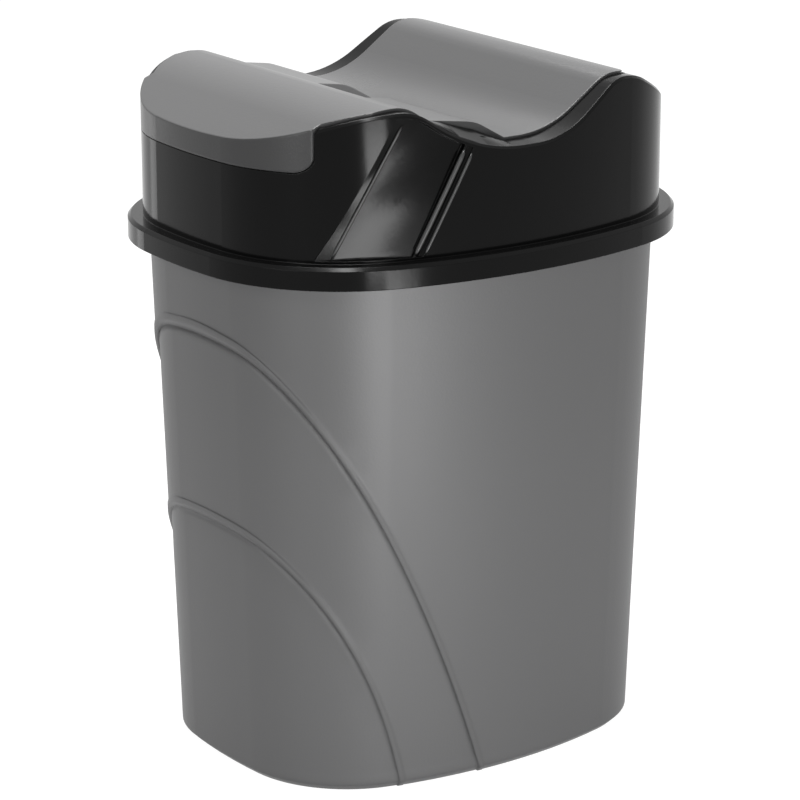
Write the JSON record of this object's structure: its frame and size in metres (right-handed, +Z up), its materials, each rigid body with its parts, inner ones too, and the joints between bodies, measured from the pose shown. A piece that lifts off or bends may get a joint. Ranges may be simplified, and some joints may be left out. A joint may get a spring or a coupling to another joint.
{
  "type": "rocking-lid kitchen bin",
  "caption": "Kitchen waste bin: tapered bucket with stepped arch lines, gloss lid collar with a wave-shaped top, and an S-shaped flap that rocks on side pins.",
  "frame": {"origin": "centre of the base, on the surface that the bin stands on", "axes": "+Z up, the front with the flap's apron faces -Y, +X to the right as seen from the front"},
  "size_m": [0.2112, 0.257, 0.3315],
  "materials": {
    "bucket_plastic": "satin",
    "collar_plastic": "gloss",
    "flap_plastic": "satin"
  },
  "bodies": {
    "bin": {"bin_body": "bucket_plastic"},
    "lid": {"lid_collar": "collar_plastic"},
    "flap": {"rocking_flap": "flap_plastic"}
  },
  "joints": [
    {"name": "lid_lift", "type": "slide", "parent": "bin", "child": "lid", "axis": [0, 0, 1], "range_m": [0, 0.12]},
    {"name": "flap_rock", "type": "hinge", "parent": "lid", "child": "flap", "pos_m": [0, -0.02, 0.306], "axis": [-1, 0, 0], "range_deg": [0, 75]}
  ]
}
